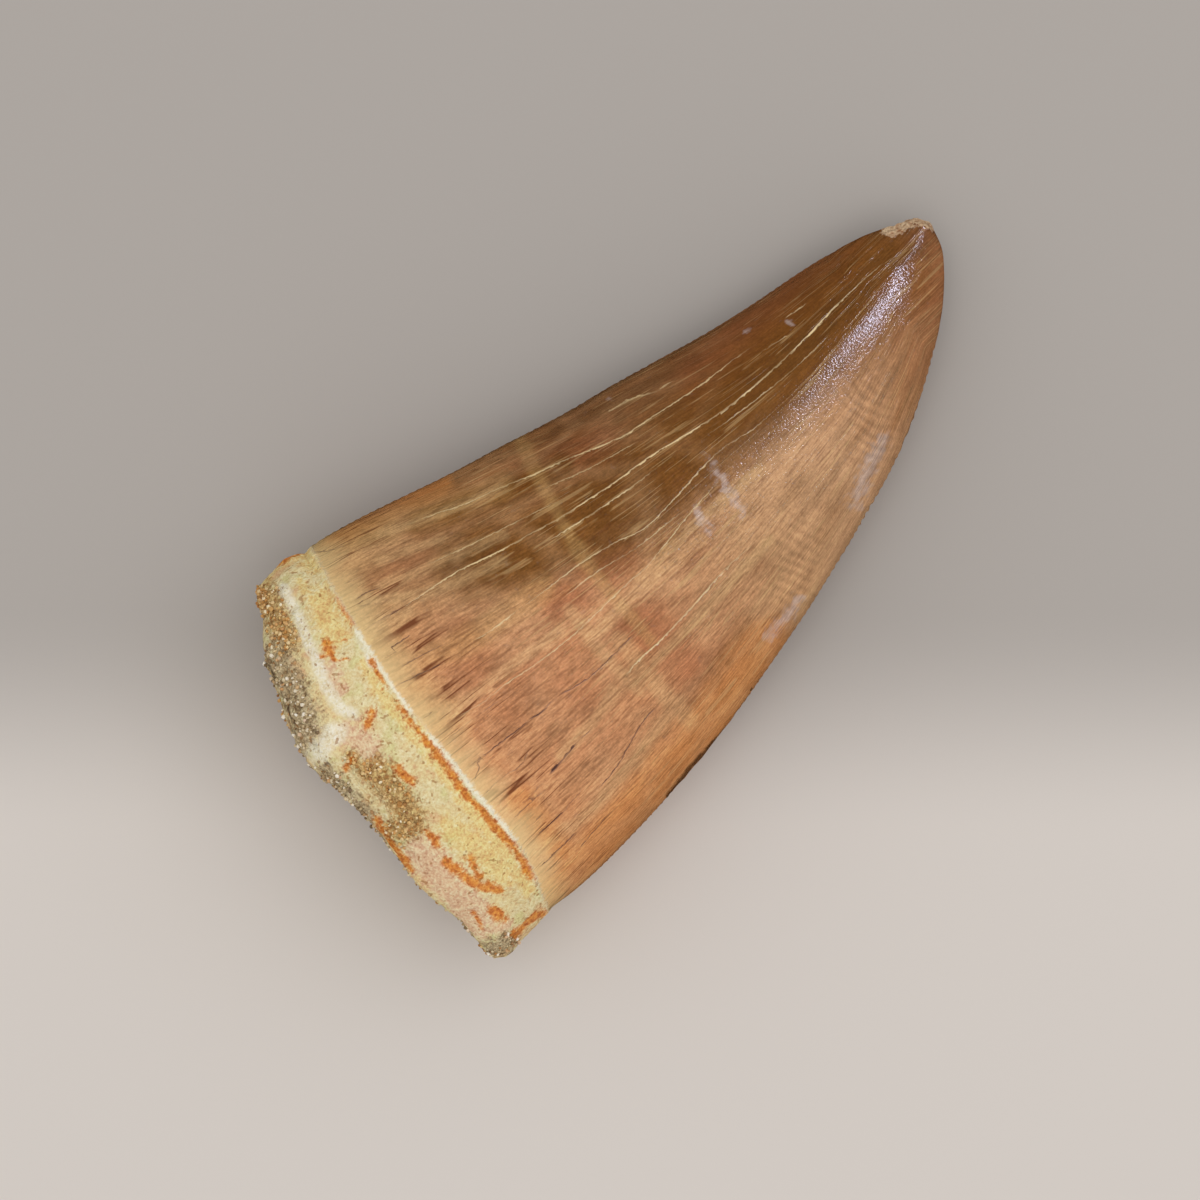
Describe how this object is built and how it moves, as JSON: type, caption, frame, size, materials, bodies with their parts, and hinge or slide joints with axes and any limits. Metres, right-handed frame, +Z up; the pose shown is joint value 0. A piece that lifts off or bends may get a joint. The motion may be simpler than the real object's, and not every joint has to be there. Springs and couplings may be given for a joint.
{
  "type": "fossil mosasaur tooth",
  "caption": "Curved reptile tooth with a flat back, a rounded ribbed face, serrated cutting edges and a broken pale root, lying on its flat side.",
  "frame": {"origin": "middle of the underside of the bounding box, on the surface the tooth lies on", "axes": "+X from the broken root to the tip, +Y across to the hind cutting edge, +Z up, out of the rounded face"},
  "size_m": [0.0414, 0.0222, 0.0124],
  "materials": {
    "fossil_enamel": "brown polished enamel on the crown, dull pale dentine with sandy matrix on the root"
  },
  "bodies": {
    "root": {"mosasaur_tooth": "fossil_enamel"}
  },
  "joints": []
}
